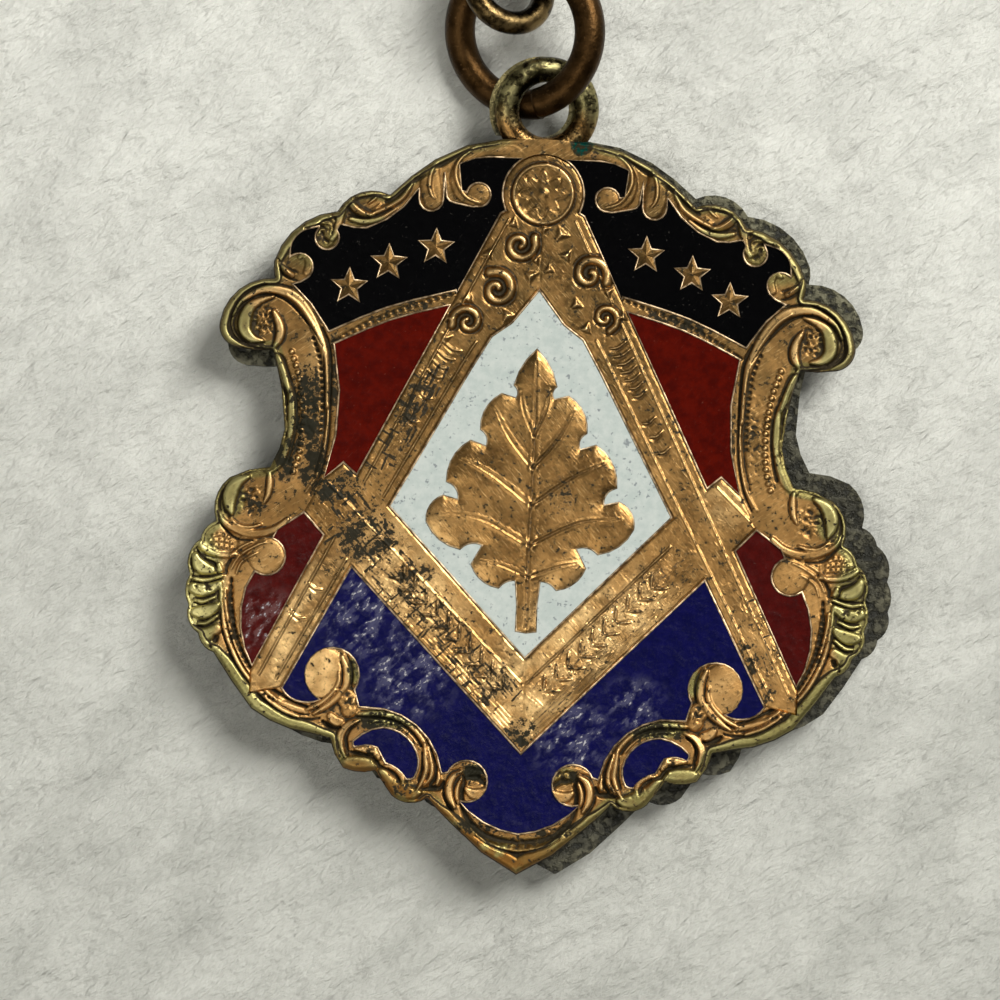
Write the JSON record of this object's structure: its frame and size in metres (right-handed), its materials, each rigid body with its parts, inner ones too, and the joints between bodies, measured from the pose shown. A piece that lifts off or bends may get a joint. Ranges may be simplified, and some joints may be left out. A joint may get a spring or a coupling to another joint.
{
  "type": "watch fob",
  "caption": "Enamelled shield-shaped watch fob of struck brass with scrolled border, strapwork, bail, jump ring and chain link.",
  "frame": {"origin": "on the flat back face of the back plate, level with the middle of the shield's widest part at the scrolls' waist, on the front plate's middle line", "axes": "+Z out of the enamelled face, +Y up the shield towards the bail, +X to the right seen from the front; the fob lies on its back on z = 0"},
  "size_m": [0.0266, 0.0376, 0.0037],
  "materials": {
    "rose_gold": "worn rose-gold plate with dark patina in the recesses",
    "oxidised_back": "dark oxidised, slightly pitted",
    "pin_brass": "bright",
    "black_enamel": "glossy, fine specks",
    "red_enamel": "glossy brick red, slightly pitted",
    "dark_red_enamel": "glossy dark red, worn and pitted",
    "blue_enamel": "glossy deep blue, scratched and pitted",
    "white_enamel": "glossy pale white, fine grey specks",
    "copper_ring": "copper brown, worn",
    "chain_brass": "worn pale brass"
  },
  "bodies": {
    "root": {"front_plate": "rose_gold", "back_plate": "oxidised_back", "joining_pin": "pin_brass", "enamel_black_left": "black_enamel", "enamel_black_right": "black_enamel", "enamel_red_upper_left": "red_enamel", "enamel_red_upper_right": "red_enamel", "enamel_red_lower_left": "dark_red_enamel", "enamel_red_lower_right": "dark_red_enamel", "enamel_blue_main": "blue_enamel", "enamel_blue_scroll_left": "blue_enamel", "enamel_blue_scroll_right": "blue_enamel", "enamel_white": "white_enamel", "jump_ring": "copper_ring", "chain_link": "chain_brass"}
  },
  "joints": []
}
